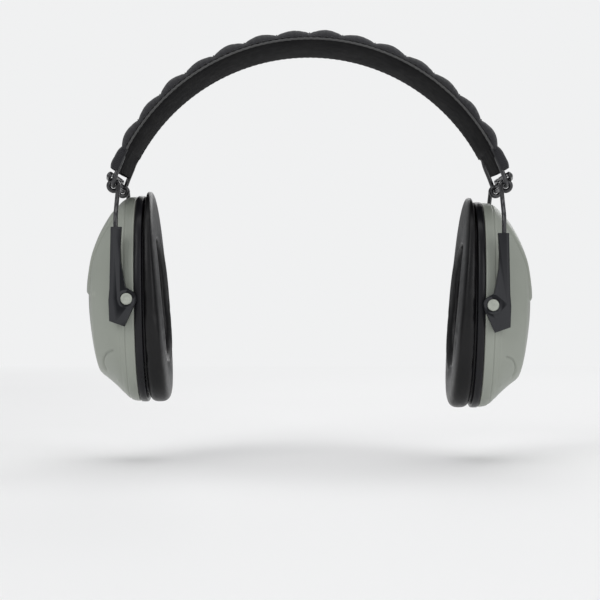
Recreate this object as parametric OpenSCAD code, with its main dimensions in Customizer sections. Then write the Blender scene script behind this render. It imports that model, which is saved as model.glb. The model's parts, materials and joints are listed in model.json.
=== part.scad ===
// Folding ear muffs: a padded wire headband, two wire yokes and two hinged cups.
// Millimetres. The origin is the middle of the pad's underside at the crown.
// +Z is up, the wearer faces -Y, and the wearer's left ear is at +X.

/* [Headband] */
// Radius of the pad's underside, from ear to ear
arch_r = 96.5; // [92:0.5:100]
// Thickness of the pad below the seam, at its middle
pad_drop = 4.9; // [4:0.1:6]
// Height of a quilted pocket above the seam
quilt_rise = 5.0; // [4:0.1:6]
// Width of the padded band, from seam to seam
band_w = 63; // [60:1:66]
// Distance between the two side wires of the band
band_wire_gap = 56; // [54:1:58]
// Distance between the fold hinges, from side to side
hinge_span = 191; // [188:1:194]
// Number of quilted pockets along the band
pocket_count = 14; // [10:1:16]
// Length of side wire left bare of padding above each hinge
bare_length = 17; // [15:0.5:20]

/* [Wires] */
// Diameter of the band wire and of the yoke wires
wire_d = 2.2; // [2:0.1:2.4]
// Inner bend radius at the corners of the band wire
wire_bend = 4; // [3.5:0.5:5]
// Distance between the two legs of a yoke
leg_gap = 76.2; // [75.8:0.1:76.6]
// Radial clearance of a leg in its arm
leg_clearance = 0.08; // [0.05:0.01:0.1]

/* [Cups] */
// Height of a cup
cup_h = 101.8; // [98:0.2:104]
// Width of a cup, from front to back
cup_w = 69.6; // [66:0.2:70]
// Distance between the rims of the two shells
rim_span = 169; // [166:1:172]
// How far each cup leans in at the bottom
cup_tilt = 1; // [0:0.5:3]
// Depth of the right cup's pivot below the origin
right_drop = 122.2; // [120:0.2:124]
// Depth of the left cup's pivot below the origin
left_drop = 125.2; // [122:0.2:127]
// Wall thickness of a shell
wall = 2.4; // [2:0.1:3]

/* [Ear cushions] */
// Thickness of a cushion at its top
cushion_top_t = 5; // [4:0.5:8]
// Thickness of a cushion at its bottom
cushion_bottom_t = 12; // [10:0.5:14]
// Height of the ear opening
ear_h = 60; // [56:1:64]
// Width of the ear opening
ear_w = 39; // [36:1:42]

/* [Arms] */
// Thickness of an arm, from front to back
arm_t = 5.4; // [5.2:0.1:5.8]
// Height of an arm above its pivot
arm_up = 34.4; // [33:0.2:36]
// Diameter of a pivot pin
pin_d = 4; // [3.6:0.1:4.2]
// Radial clearance of a pivot pin in its arm
pin_clearance = 0.05; // [0.03:0.01:0.1]

/* [Hidden] */

// Colours
sage = [0.56, 0.58, 0.53];
pale_sage = [0.65, 0.67, 0.62];
satin_black = [0.10, 0.10, 0.11];
wire_black = [0.16, 0.16, 0.17];
leather_black = [0.07, 0.07, 0.075];
textile_grey = [0.17, 0.17, 0.18];
foam_grey = [0.30, 0.30, 0.32];

// Roundness of round pieces, and of the few-sided ovals
round_fn = 48;
oval_sides = 40;
oval_power = 2.3;

// Gap between pieces that touch, and round a hidden foam
gap = 0.05;
foam_gap = 0.2;

// Headband
arch_z = -arch_r;
wire_r = wire_d / 2;
hinge_x = hinge_span / 2;
seam_r = arch_r + pad_drop;
crest_r = seam_r + quilt_rise;
trough_r = crest_r - 2;
band_wire_r = arch_r + 3.4;
hinge_z = arch_z + sqrt(pow(band_wire_r, 2) - pow(hinge_x, 2));
hinge_deg = asin(hinge_x / band_wire_r);
deg_per_mm = 180 / (PI * band_wire_r);
pad_deg = hinge_deg - bare_length * deg_per_mm;
tab_deg = hinge_deg - 8 * deg_per_mm;
corner_deg = wire_bend * deg_per_mm;
band_y = band_wire_gap / 2;
seam_y = band_w / 2;
foam_y = band_y - 2.1;
skin = 0.8;
sleeve_r = 1.45;
sleeve_deg = 4.5;
quilt_edge = 1;
quilt_side = 4;
quilt_flat = 9;
pad_side = 1.3;
pad_corner = 3;
pad_flat = 14;
tab_in_r = band_wire_r - 1.9;
tab_out_r = seam_r + 1.1;
tab_y = band_y + 1.9;
short_tab_y = 18;

// Yokes
leg_y = leg_gap / 2;
leg_x = 92.9;
leg_top = -82.5;
knuckle = 0.15;
eye_y = band_y - wire_bend - 1.7;
eye_r = wire_d + 0.2;
eye_deg = 15;
bridge_out = 0.95;
bridge_up = 5.5;
bridge_y = band_y + 2.5;

// Arms, measured from the pivot: outward and up
bore_out = 5.4;
guide_low = 20.5;
chamber_r = 1.7;
chamber_low = -8.5;
stop_r = 1.6;
stop_low = -5;
stop_h = 3;
boss_r = 4.5;
pin_r = pin_d / 2;
head_r = 2.85;
head_h = 1.4;
recess_depth = 1.2;

// Cups, measured from the middle of the rim: outward, front to back, and up
pivot_x = leg_x - bore_out;
rim_x = rim_span / 2;
pivot_out = pivot_x - rim_x;
half_w = cup_w / 2;
half_h = cup_h / 2;
arm_in = half_w + 0.6;
pin_end = half_w - 3.8;
ring_t = 4;
plate_t = 1.6;
liner_face = 8;
cushion_over = 1.6;
cushion_rise = 1;

// Where a cushion is widest and how far it leans there, as shares of the whole,
// and how far its back and its face are drawn in
bulge_at = 0.55;
bulge_lean = 0.6;
back_in = 2;
face_in = 5;

// Depth from the rim, top edge and bottom edge of the shell
shell_profile = [
  [0, half_h, -half_h],
  [5, half_h - 0.6, 0.6 - half_h],
  [9.6, 46.9, -46],
  [13, 41.8, -42.6],
  [18.4, 31.9, -37.6],
  [21, 25.2, -34.2],
  [23.8, 14.5, -20],
  [25.6, 4, -4]
];

// Corner points of an oval with slightly squared shoulders
function oval(half_across, half_up) = [
  for (i = [0:oval_sides - 1])
    let (a = i * 360 / oval_sides)
      [half_across * sign(cos(a)) * pow(abs(cos(a)), 2 / oval_power),
       half_up * sign(sin(a)) * pow(abs(sin(a)), 2 / oval_power)]
];

// Builds the left side as it is, or the right side as its mirror image
module on_side(side) {
  if (side == "left") children();
  else mirror([1, 0, 0]) children();
}

function drop_of(side) = side == "left" ? left_drop : right_drop;

// Turns a drawing in the Y-Z plane into a slab that is t thick towards +X
module slab(t) {
  rotate([90, 0, 90]) linear_extrude(t) children();
}

module oval_slab(out, t, half_across, half_up, rise = 0) {
  translate([out, 0, rise]) slab(t) polygon(oval(half_across, half_up));
}

// A round rod between two points
module rod(p, q, r) {
  v = q - p;
  translate(p)
    rotate([0, acos(v[2] / norm(v)), atan2(v[1], v[0])])
      cylinder(h = norm(v), r = r, $fn = round_fn);
}

// A rod through a list of points, with a small knuckle at each
module bent_rod(points, r) {
  for (i = [0:len(points) - 2]) rod(points[i], points[i + 1], r);
  for (point = points) translate(point) sphere(r + knuckle, $fn = round_fn);
}

// Sweeps a drawing of radius and depth along the arch, from one angle to another
module sweep_arch(from_deg, to_deg) {
  translate([0, 0, arch_z])
    rotate([90, 0, 0])
      rotate_extrude(angle = to_deg - from_deg, start = 90 - to_deg, $fn = 180)
        children();
}

// ---- Headband ----

module side_wire(y) {
  reach = hinge_deg - corner_deg;
  translate([0, y, 0]) sweep_arch(-reach, reach) translate([band_wire_r, 0]) circle(wire_r, $fn = 32);
}

// The cross wire at one end of the band, which is the fold hinge's pin
module cross_wire() {
  straight = band_y - wire_bend;
  translate([hinge_x, 0, hinge_z]) rotate([0, hinge_deg - 90, 0]) {
    translate([0, straight, 0]) rotate([90, 0, 0]) cylinder(h = 2 * straight, r = wire_r, $fn = round_fn);
    for (end = [0, 1]) mirror([0, end, 0])
      translate([0, straight, wire_bend])
        rotate([90, 0, 90])
          rotate_extrude(angle = 90, start = -90, $fn = round_fn)
            translate([wire_bend, 0]) circle(wire_r, $fn = 32);
  }
}

module band_frame() {
  color(wire_black) {
    side_wire(-band_y);
    side_wire(band_y);
    cross_wire();
    mirror([1, 0, 0]) cross_wire();
  }
}

module frame_sleeve() {
  color(wire_black)
    translate([0, band_y, 0])
      sweep_arch(-sleeve_deg, sleeve_deg)
        translate([band_wire_r, 0])
          difference() {
            circle(sleeve_r, $fn = 32);
            circle(wire_r, $fn = 32);
          }
}

// The tunnels for the side wires and the sleeve in the pad
module wire_tunnels(reach) {
  for (y = [-band_y, band_y])
    translate([0, y, 0])
      sweep_arch(-reach, reach) translate([band_wire_r, 0]) circle(wire_r + gap, $fn = 32);
  translate([0, band_y, 0])
    sweep_arch(-sleeve_deg - 0.2, sleeve_deg + 0.2)
      translate([band_wire_r, 0]) circle(sleeve_r + gap, $fn = 32);
}

// Half of the band's section, from the seam in to the middle, shrunk by a margin
module pad_section(margin) {
  polygon([
    [seam_r - margin / 2, 2 * margin - seam_y],
    [arch_r + pad_side + margin, pad_corner + margin - seam_y],
    [arch_r + margin, pad_flat - seam_y],
    [arch_r + margin, seam_y - pad_flat],
    [arch_r + pad_side + margin, seam_y - pad_corner - margin],
    [seam_r - margin / 2, seam_y - 2 * margin]
  ]);
}

// The foam lies between the side wires
module pad_foam() {
  reach = pad_deg - 2;
  color(foam_grey) sweep_arch(-reach, reach)
    intersection() {
      pad_section(skin + foam_gap);
      translate([arch_r, -foam_y]) square([pad_drop + 1, 2 * foam_y]);
    }
}

module band_pad() {
  color(leather_black) difference() {
    sweep_arch(1 - pad_deg, pad_deg - 1) pad_section(0);
    sweep_arch(1.5 - pad_deg, pad_deg - 1.5) pad_section(skin);
    wire_tunnels(pad_deg + 1);
  }
}

// Section of the quilted cover above the seam, up to the given radius
module quilt_section(top_r, margin) {
  polygon([
    [seam_r + margin, 2.5 * margin - seam_y],
    [seam_r + margin, seam_y - 2.5 * margin],
    [top_r - quilt_edge, seam_y - quilt_side - margin],
    [top_r, seam_y - quilt_flat],
    [top_r, quilt_flat - seam_y],
    [top_r - quilt_edge, quilt_side + margin - seam_y]
  ]);
}

module quilt_wadding() {
  inset = skin + foam_gap;
  color(foam_grey) sweep_arch(1.2 - pad_deg, pad_deg - 1.2) quilt_section(trough_r - inset, inset);
}

// The end of the cover, which holds the side wires above a hinge
module cover_tab(rear_y) {
  sweep_arch(pad_deg - 0.4, tab_deg)
    difference() {
      translate([tab_in_r, -rear_y]) square([tab_out_r - tab_in_r, tab_y + rear_y]);
      translate([band_wire_r, band_y]) circle(wire_r + gap, $fn = 32);
      translate([band_wire_r, -band_y]) circle(wire_r + gap, $fn = 32);
    }
}

module band_cover() {
  pitch = 2 * pad_deg / pocket_count;
  color(textile_grey) difference() {
    union() {
      sweep_arch(-pad_deg, pad_deg) quilt_section(trough_r, 0);
      for (i = [0:pocket_count - 1])
        let (middle = (i - (pocket_count - 1) / 2) * pitch)
          sweep_arch(middle - 0.36 * pitch, middle + 0.36 * pitch)
            translate([trough_r - 1, 11 - seam_y]) square([3, 2 * seam_y - 22]);
      cover_tab(short_tab_y);
      mirror([1, 0, 0]) cover_tab(tab_y);
    }
    sweep_arch(0.9 - pad_deg, pad_deg - 0.9) quilt_section(trough_r - skin, skin);
  }
}

// ---- Yokes ----

function leg_path(way, low) = [
  [leg_x, way * leg_y, low],
  [leg_x, way * leg_y, leg_top],
  [hinge_x - eye_r * cos(eye_deg), way * eye_y, hinge_z - eye_r * sin(eye_deg)]
];

function riser_path(way) = [
  [hinge_x + eye_r * cos(eye_deg), way * eye_y, hinge_z + eye_r * sin(eye_deg)],
  [hinge_x + bridge_out + 0.4, way * bridge_y, hinge_z + bridge_up - 1.2],
  [hinge_x + bridge_out, way * (bridge_y - 1.8), hinge_z + bridge_up]
];

module hinge_eye(y) {
  translate([hinge_x, y, hinge_z])
    rotate([90, 0, 0])
      rotate_extrude($fn = round_fn) translate([eye_r, 0]) circle(wire_r, $fn = 32);
}

module yoke_wire(side) {
  stop_z = stop_low - drop_of(side);
  color(wire_black) on_side(side) {
    for (way = [-1, 1]) {
      bent_rod(leg_path(way, stop_z + stop_h / 2), wire_r);
      translate([leg_x, way * leg_y, stop_z]) cylinder(h = stop_h, r = stop_r, $fn = round_fn);
      hinge_eye(way * eye_y);
      bent_rod(riser_path(way), wire_r);
    }
    rod(riser_path(-1)[2], riser_path(1)[2], wire_r);
  }
}

// ---- Arms ----

// Outline of an arm, seen from the front, with its pivot at the origin
module arm_outline() {
  polygon([
    [2.5, arm_up],
    [7.6, arm_up],
    [8.2, 5],
    [8.7, -0.5],
    [8.3, -10.6],
    [1.1, -13.2],
    [-3.8, -2.4],
    [0, 0],
    [0.6, 5.6],
    [1.7, 10.8],
    [2.9, 18],
    [3.1, 24.6],
    [2.7, 32.7]
  ]);
}

// An arm with its pivot at the origin and its inner face towards +Y
module arm() {
  difference() {
    union() {
      rotate([90, 0, 0]) linear_extrude(arm_t) arm_outline();
      rotate([90, 0, 0]) cylinder(h = arm_t, r = boss_r, $fn = round_fn);
    }
    translate([0, 1, 0]) rotate([90, 0, 0]) cylinder(h = arm_t + 2, r = pin_r + pin_clearance, $fn = round_fn);
    translate([0, recess_depth - arm_t, 0])
      rotate([90, 0, 0]) cylinder(h = recess_depth + 1, r = head_r + 0.1, $fn = round_fn);
    translate([bore_out, -arm_t / 2, guide_low - 1])
      cylinder(h = arm_up, r = wire_r + leg_clearance, $fn = round_fn);
    translate([bore_out, -arm_t / 2, chamber_low])
      cylinder(h = guide_low - chamber_low, r = chamber_r, $fn = round_fn);
  }
}

module placed_arm(side, rear) {
  color(satin_black) on_side(side)
    translate([pivot_x, 0, -drop_of(side)])
      mirror([0, rear ? 1 : 0, 0])
        translate([0, -arm_in, 0]) arm();
}

// ---- Cups ----

// Puts a piece drawn from the rim of a cup in its place on one side
module on_cup(side) {
  on_side(side)
    translate([pivot_x, 0, -drop_of(side)])
      rotate([0, cup_tilt, 0])
        translate([-pivot_out, 0, 0]) children();
}

// A dome through the shell's profile, shrunk by a margin, from one depth outward
module dome(margin, from_row = 0) {
  hull()
    for (i = [from_row:len(shell_profile) - 1])
      let (
        row = shell_profile[i],
        high = row[1] - margin,
        low = row[2] + margin,
        half = max((high - low) / 2, 1)
      )
        oval_slab(max(row[0] - margin, 0), 0.01, half * cup_w / cup_h, half, (high + low) / 2);
}

// A round rod along Y through the pivots, between two depths from the middle
module pivot_rod(r, y_in, y_out) {
  for (way = [0, 1]) mirror([0, way, 0])
    translate([pivot_out, y_out, 0]) rotate([90, 0, 0]) cylinder(h = y_out - y_in, r = r, $fn = round_fn);
}

module cup_shell(side) {
  color(sage) on_cup(side) difference() {
    union() {
      difference() {
        dome(0);
        translate([-1, 0, 0]) dome(wall);
        dome(wall);
      }
      intersection() {
        pivot_rod(pivot_out, pin_end - 1.2, half_w + 0.2);
        translate([0, -half_w - 1, -10]) cube([20, cup_w + 2, 20]);
      }
    }
    pivot_rod(pin_r, pin_end, half_w + 2);
  }
}

module pivot_pin(side, rear) {
  outer = arm_in + arm_t - recess_depth;
  color(pale_sage) on_cup(side)
    mirror([0, rear ? 0 : 1, 0])
      translate([pivot_out, 0, 0]) {
        translate([0, outer, 0]) rotate([90, 0, 0]) cylinder(h = outer - pin_end, r = pin_r, $fn = round_fn);
        translate([0, outer + head_h, 0]) rotate([90, 0, 0]) cylinder(h = head_h, r = head_r, $fn = round_fn);
      }
}

// The black ring that closes the shell and carries the cushion
module base_ring(side) {
  color(satin_black) on_cup(side) {
    difference() {
      oval_slab(-ring_t, ring_t - gap, half_w + 0.3, half_h + 0.3);
      oval_slab(-ring_t - 1, ring_t + 2, half_w - 8, half_h - 10);
    }
    difference() {
      oval_slab(-1, 4, half_w - wall - 0.3, half_h - wall - 1.2);
      oval_slab(-2, 6, half_w - wall - 2, half_h - wall - 3);
      pivot_rod(pivot_out + 0.3, pin_end - 2, half_w);
    }
  }
}

// The foam block that lines the shell and soaks up sound
module sound_foam(side) {
  color(foam_grey) on_cup(side) intersection() {
    dome(wall + 0.3, 1);
    translate([liner_face, -half_w, -half_h]) cube([30, cup_w, cup_h]);
  }
}

module cushion_plate(side) {
  color(satin_black) on_cup(side) difference() {
    oval_slab(-ring_t - plate_t, plate_t - gap, half_w - 1.5, half_h - 2.7);
    oval_slab(-ring_t - plate_t - 1, plate_t + 2, ear_w / 2 + 4, ear_h / 2 + 4);
  }
}

// An oval ring whose face leans in towards the bottom
module cushion_body(margin, back, hole_margin) {
  lean = atan((cushion_bottom_t - cushion_top_t) / cup_h);
  mean_t = (cushion_top_t + cushion_bottom_t) / 2;
  half_across = half_w + cushion_over - margin;
  half_up = half_h + cushion_over - margin;
  difference() {
    hull() {
      oval_slab(-ring_t - back, 0.01, half_across - back_in, half_up - back_in, cushion_rise);
      translate([-ring_t - bulge_at * mean_t, 0, cushion_rise]) rotate([0, bulge_lean * lean, 0])
        oval_slab(0, 0.01, half_across, half_up);
      translate([-ring_t - mean_t + margin, 0, cushion_rise]) rotate([0, lean, 0])
        oval_slab(0, 0.01, half_across - face_in, half_up - face_in);
    }
    oval_slab(-40, 60, ear_w / 2 + hole_margin, ear_h / 2 + hole_margin);
  }
}

module cushion_foam(side) {
  color(foam_grey) on_cup(side) cushion_body(skin + foam_gap, plate_t + gap, skin + foam_gap);
}

module ear_cushion(side) {
  color(leather_black) on_cup(side) difference() {
    cushion_body(0, gap, 0);
    cushion_body(skin, -1, skin);
  }
}

band_frame();
frame_sleeve();
pad_foam();
band_pad();
quilt_wadding();
band_cover();
yoke_wire("right");  // right_yoke_wire
placed_arm("right", false);  // right_front_arm
placed_arm("right", true);  // right_rear_arm
pivot_pin("right", false);  // right_front_pivot_pin
pivot_pin("right", true);  // right_rear_pivot_pin
cup_shell("right");  // right_cup_shell
base_ring("right");  // right_base_ring
sound_foam("right");  // right_sound_foam
cushion_plate("right");  // right_cushion_plate
cushion_foam("right");  // right_cushion_foam
ear_cushion("right");  // right_ear_cushion
yoke_wire("left");  // left_yoke_wire
placed_arm("left", false);  // left_front_arm
placed_arm("left", true);  // left_rear_arm
pivot_pin("left", false);  // left_front_pivot_pin
pivot_pin("left", true);  // left_rear_pivot_pin
cup_shell("left");  // left_cup_shell
base_ring("left");  // left_base_ring
sound_foam("left");  // left_sound_foam
cushion_plate("left");  // left_cushion_plate
cushion_foam("left");  // left_cushion_foam
ear_cushion("left");  // left_ear_cushion
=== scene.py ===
"""Folding ear muffs: the camera, the light, the materials and the visible pieces.

Shapes are worked out in millimetres in the frame's own axes: +X to the wearer's left, +Y to the back,
+Z up, from the middle of the pad's underside. make_piece turns them into metres. What is on one side is
shaped as the left one and mirrored by SIGN.
"""
import json
import math
import random

import bmesh
import bpy
import numpy as np
from mathutils import Matrix, Vector


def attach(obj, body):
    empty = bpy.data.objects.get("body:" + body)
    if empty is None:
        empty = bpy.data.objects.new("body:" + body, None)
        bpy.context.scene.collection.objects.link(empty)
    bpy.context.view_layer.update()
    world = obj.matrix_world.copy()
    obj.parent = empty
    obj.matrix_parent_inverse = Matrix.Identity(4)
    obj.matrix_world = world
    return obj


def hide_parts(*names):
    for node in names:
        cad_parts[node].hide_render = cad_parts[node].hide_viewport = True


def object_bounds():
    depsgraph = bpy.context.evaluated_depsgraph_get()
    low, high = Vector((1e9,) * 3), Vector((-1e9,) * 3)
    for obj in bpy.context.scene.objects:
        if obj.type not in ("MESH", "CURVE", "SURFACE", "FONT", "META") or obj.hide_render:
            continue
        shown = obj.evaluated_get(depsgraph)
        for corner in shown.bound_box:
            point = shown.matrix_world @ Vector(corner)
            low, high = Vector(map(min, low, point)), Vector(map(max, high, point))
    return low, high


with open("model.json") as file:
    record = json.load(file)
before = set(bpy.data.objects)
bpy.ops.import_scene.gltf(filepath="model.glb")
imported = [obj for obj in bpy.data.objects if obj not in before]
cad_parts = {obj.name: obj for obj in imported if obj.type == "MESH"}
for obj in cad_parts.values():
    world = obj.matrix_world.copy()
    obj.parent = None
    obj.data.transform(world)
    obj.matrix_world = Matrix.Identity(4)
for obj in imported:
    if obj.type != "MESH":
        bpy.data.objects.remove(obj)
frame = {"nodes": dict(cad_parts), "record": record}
cad_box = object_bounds()

MM = 0.001
SIGN = {"right": -1, "left": 1}
JOINTS = {j["name"]: j for j in frame["record"]["behaviour"]["joints"]}
SEED = 7
rng = random.Random(SEED)

# ---- Camera and light ----

# Metres from the frame's origin: in front of it, above it and to the side
DISTANCE = 0.870
EYE_HEIGHT = -0.12275
EYE_SIDE = -0.0047
SENSOR = 36
LENS = 104.4

camera_data = bpy.data.cameras.new("camera")
camera_data.sensor_width = SENSOR
camera_data.lens = LENS
camera = bpy.data.objects.new("camera", camera_data)
camera.location = (EYE_SIDE, -DISTANCE, EYE_HEIGHT)
camera.rotation_euler = (math.radians(90), 0, 0)
bpy.context.collection.objects.link(camera)
bpy.context.scene.camera = camera
bpy.context.scene.view_settings.view_transform = "Standard"


def soft_light(name, place, size, power):
    """A wide lamp turned towards the middle of the object."""
    data = bpy.data.lights.new(name, "AREA")
    data.shape = "RECTANGLE"
    data.size, data.size_y = size
    data.energy = power
    lamp = bpy.data.objects.new(name, data)
    lamp.location = place
    lamp.rotation_euler = (Vector(MIDDLE) - Vector(place)).to_track_quat("-Z", "Y").to_euler()
    bpy.context.collection.objects.link(lamp)


MIDDLE = (0, 0, -0.09)
soft_light("key", place=(-0.9, -1.1, 0.7), size=(0.9, 1.0), power=8)
soft_light("fill", place=(1.0, -1.1, 0.3), size=(0.9, 1.0), power=6)
soft_light("top", place=(0, 0.1, 1.1), size=(1.4, 1.2), power=9)
soft_light("rear", place=(0.3, 1.2, 0.5), size=(1.2, 0.8), power=5)

# What lights the object from all round, and what the camera sees behind it
SKY = (0.97, 0.98, 1, 1)
SKY_STRENGTH = 0.3
BACKDROP = (0.97, 0.975, 0.98, 1)
BACKDROP_STRENGTH = 0.9

world = bpy.data.worlds.new("studio")
world.use_nodes = True
sky = world.node_tree.nodes["Background"]
sky.inputs["Color"].default_value = SKY
sky.inputs["Strength"].default_value = SKY_STRENGTH
backdrop = world.node_tree.nodes.new("ShaderNodeBackground")
backdrop.inputs["Color"].default_value = BACKDROP
backdrop.inputs["Strength"].default_value = BACKDROP_STRENGTH
seen = world.node_tree.nodes.new("ShaderNodeMixShader")
path = world.node_tree.nodes.new("ShaderNodeLightPath")
for source, target in (
    (path.outputs["Is Camera Ray"], seen.inputs[0]),
    (sky.outputs[0], seen.inputs[1]),
    (backdrop.outputs[0], seen.inputs[2]),
    (seen.outputs[0], world.node_tree.nodes["World Output"].inputs["Surface"]),
):
    world.node_tree.links.new(source, target)
bpy.context.scene.world = world

# ---- Materials ----


class Shader:
    """Builds a material's nodes with short calls. Patterns lie in metres; a scale is in cycles a metre."""

    def __init__(self, name, **values):
        self.material = bpy.data.materials.new(name)
        self.material.use_nodes = True
        self.tree = self.material.node_tree
        self.shader = self.tree.nodes["Principled BSDF"]
        for key, value in values.items():
            self.shader.inputs[key.replace("_", " ")].default_value = value
        self.where = self.node("ShaderNodeTexCoord").outputs["Object"]

    def node(self, kind, **values):
        """A new node with its settings."""
        made = self.tree.nodes.new(kind)
        for key, value in values.items():
            setattr(made, key, value)
        return made

    def put(self, socket, value):
        """Links a socket to another one, or sets it to a plain value."""
        if isinstance(value, bpy.types.NodeSocket):
            self.tree.links.new(value, socket)
        else:
            socket.default_value = value

    def edges(self):
        """Above a half on sharp edges, below it in grooves."""
        return self.node("ShaderNodeNewGeometry").outputs["Pointiness"]

    def noise(self, scale, detail=3, rough=0.5):
        made = self.node("ShaderNodeTexNoise")
        self.put(made.inputs["Vector"], self.where)
        made.inputs["Scale"].default_value = scale
        made.inputs["Detail"].default_value = detail
        made.inputs["Roughness"].default_value = rough
        return made.outputs["Fac"]

    def cells(self, scale, feature="F1"):
        """Distance in a pattern of cells, from their middles or, if feature says so, their edges."""
        made = self.node("ShaderNodeTexVoronoi", feature=feature)
        self.put(made.inputs["Vector"], self.where)
        made.inputs["Scale"].default_value = scale
        return made.outputs["Distance"]

    def math(self, kind, a, b=0.0):
        made = self.node("ShaderNodeMath", operation=kind)
        self.put(made.inputs[0], a)
        self.put(made.inputs[1], b)
        return made.outputs[0]

    def ramp(self, value, stops):
        """A colour from (place, colour) stops."""
        made = self.node("ShaderNodeValToRGB")
        points = made.color_ramp.elements
        while len(points) < len(stops):
            points.new(0.5)
        for point, (at, colour) in zip(points, stops):
            point.position = at
            point.color = (*colour, 1)
        self.put(made.inputs["Fac"], value)
        return made.outputs["Color"]

    def range(self, value, low, high, out_low, out_high):
        made = self.node("ShaderNodeMapRange")
        for socket, v in zip(made.inputs, (value, low, high, out_low, out_high)):
            self.put(socket, v)
        return made.outputs["Result"]

    def spread(self, noise, low, high):
        """From low to high over the part of its range where a noise mostly lies."""
        return self.range(noise, 0.3, 0.7, low, high)

    def mix(self, factor, a, b):
        made = self.node("ShaderNodeMix", data_type="RGBA")
        self.put(made.inputs["Factor"], factor)
        self.put(made.inputs[6], a)
        self.put(made.inputs[7], b)
        return made.outputs[2]

    def bump(self, height, strength, distance, under=None):
        """Relief of a depth in metres, on top of the relief under it."""
        made = self.node("ShaderNodeBump")
        made.inputs["Strength"].default_value = strength
        made.inputs["Distance"].default_value = distance
        self.put(made.inputs["Height"], height)
        if under:
            self.put(made.inputs["Normal"], under)
        return made.outputs["Normal"]

    def set(self, **values):
        """Puts values on the shader's sockets and gives back the finished material."""
        for key, value in values.items():
            self.put(self.shader.inputs[key.replace("_", " ")], value)
        return self.material


def shell_material():
    """Moulded sage plastic, with a painted highlight on its edges and painted shade in its grooves."""
    s = Shader("sage_shell", Specular_IOR_Level=0.4, Coat_Weight=0.1, Coat_Roughness=0.25)
    cloud = s.noise(28, 4)
    speck = s.noise(1900, 2)
    base = s.ramp(cloud, [(0.25, (0.28, 0.3, 0.262)), (0.75, (0.315, 0.335, 0.295))])
    # painted highlight: the colour turns paler on sharp edges
    edge = s.range(s.edges(), 0.5, 0.56, 0, 0.35)
    # painted shade: the colour turns darker in grooves
    painted_groove_shade = s.range(s.edges(), 0.44, 0.492, 0.6, 0)
    colour = s.mix(painted_groove_shade, s.mix(edge, base, (0.4, 0.42, 0.37, 1)), (0.12, 0.13, 0.11, 1))
    rough = s.spread(cloud, 0.36, 0.44)
    fine = s.bump(speck, 0.12, 0.04 * MM)
    return s.set(Base_Color=colour, Roughness=rough, Normal=s.bump(s.noise(210, 2), 0.05, 0.3 * MM, fine))


def pin_material():
    """The shell's plastic, a little paler."""
    s = Shader("pale_pin", Specular_IOR_Level=0.45)
    cloud = s.noise(400, 3)
    colour = s.ramp(cloud, [(0.3, (0.33, 0.35, 0.31)), (0.7, (0.42, 0.44, 0.39))])
    return s.set(Base_Color=colour, Roughness=s.spread(cloud, 0.36, 0.48),
                 Normal=s.bump(s.noise(1500, 2), 0.15, 0.05 * MM))


def arm_material():
    """Grained black plastic, turning grey along its edges as a painted highlight."""
    s = Shader("satin_arm", Specular_IOR_Level=0.11)
    grain = s.noise(1300, 4)
    # painted highlight: the colour turns grey along sharp edges
    painted_edge_highlight = s.range(s.edges(), 0.52, 0.62, 0, 0.7)
    base = s.ramp(s.noise(60, 3), [(0.3, (0.007, 0.0073, 0.009)), (0.7, (0.011, 0.0117, 0.014))])
    colour = s.mix(painted_edge_highlight, base, (0.055, 0.056, 0.06, 1))
    return s.set(Base_Color=colour, Roughness=s.spread(s.noise(90, 2), 0.4, 0.5),
                 Normal=s.bump(grain, 0.3, 0.08 * MM))


def ring_material():
    """Smooth black plastic."""
    s = Shader("black_ring", Specular_IOR_Level=0.26)
    cloud = s.noise(45, 3)
    base = s.ramp(cloud, [(0.3, (0.008, 0.008, 0.0095)), (0.7, (0.012, 0.012, 0.0145))])
    return s.set(Base_Color=base, Roughness=s.spread(cloud, 0.27, 0.36),
                 Normal=s.bump(s.noise(1100, 3), 0.1, 0.06 * MM))


def wire_material():
    """Steel under black paint, with a few small chips."""
    s = Shader("black_wire", Metallic=0.2, Specular_IOR_Level=0.5, Coat_Weight=0.3, Coat_Roughness=0.12)
    cloud = s.noise(260, 3)
    chips = s.range(s.noise(520, 5, 0.7), 0.66, 0.7, 0, 1)
    base = s.mix(chips, (0.03, 0.03, 0.033, 1), (0.22, 0.21, 0.2, 1))
    return s.set(Base_Color=base, Roughness=s.spread(cloud, 0.22, 0.34),
                 Normal=s.bump(s.noise(900, 3), 0.12, 0.08 * MM))


def steel_material():
    """Bare steel of the hidden crimp."""
    s = Shader("crimp_steel", Metallic=1.0)
    brushed = s.noise(700, 4)
    return s.set(Base_Color=s.ramp(brushed, [(0.3, (0.42, 0.42, 0.43)), (0.7, (0.58, 0.57, 0.56))]),
                 Roughness=s.spread(brushed, 0.28, 0.45),
                 Normal=s.bump(brushed, 0.2, 0.06 * MM))


def leatherette_material(name, gloss, low, high):
    """Black leatherette: fine pores, creases and slack folds; roughness from low to high."""
    s = Shader(name, Specular_IOR_Level=gloss)
    pores = s.cells(1500, "DISTANCE_TO_EDGE")
    grain = s.range(pores, 0.0, 0.12, 0, 1)
    creases = s.noise(260, 4, 0.6)
    folds = s.noise(55, 2)
    base = s.ramp(s.noise(70, 3), [(0.3, (0.006, 0.006, 0.0066)), (0.7, (0.01, 0.0098, 0.0104))])
    fine = s.bump(grain, 0.14, 0.09 * MM)
    mid = s.bump(creases, 0.25, 0.2 * MM, fine)
    return s.set(Base_Color=base, Roughness=s.spread(creases, low, high),
                 Normal=s.bump(folds, 0.2, 0.8 * MM, mid))


def foam_material():
    """Dark open-cell foam."""
    s = Shader("acoustic_foam", Specular_IOR_Level=0.2, Roughness=0.95)
    pores = s.cells(900)
    pore_depth_and_shade = s.range(pores, 0.15, 0.5, 0, 1)
    # painted shade: the pores are coloured darker than the foam around them, and the same mask sinks them
    base = s.mix(pore_depth_and_shade, (0.012, 0.012, 0.013, 1), (0.05, 0.05, 0.053, 1))
    return s.set(Base_Color=base, Normal=s.bump(pore_depth_and_shade, 0.7, 0.5 * MM))


# Metres from thread to thread of the cover's weave, along and across
WEAVE = 0.85 * MM


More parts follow.
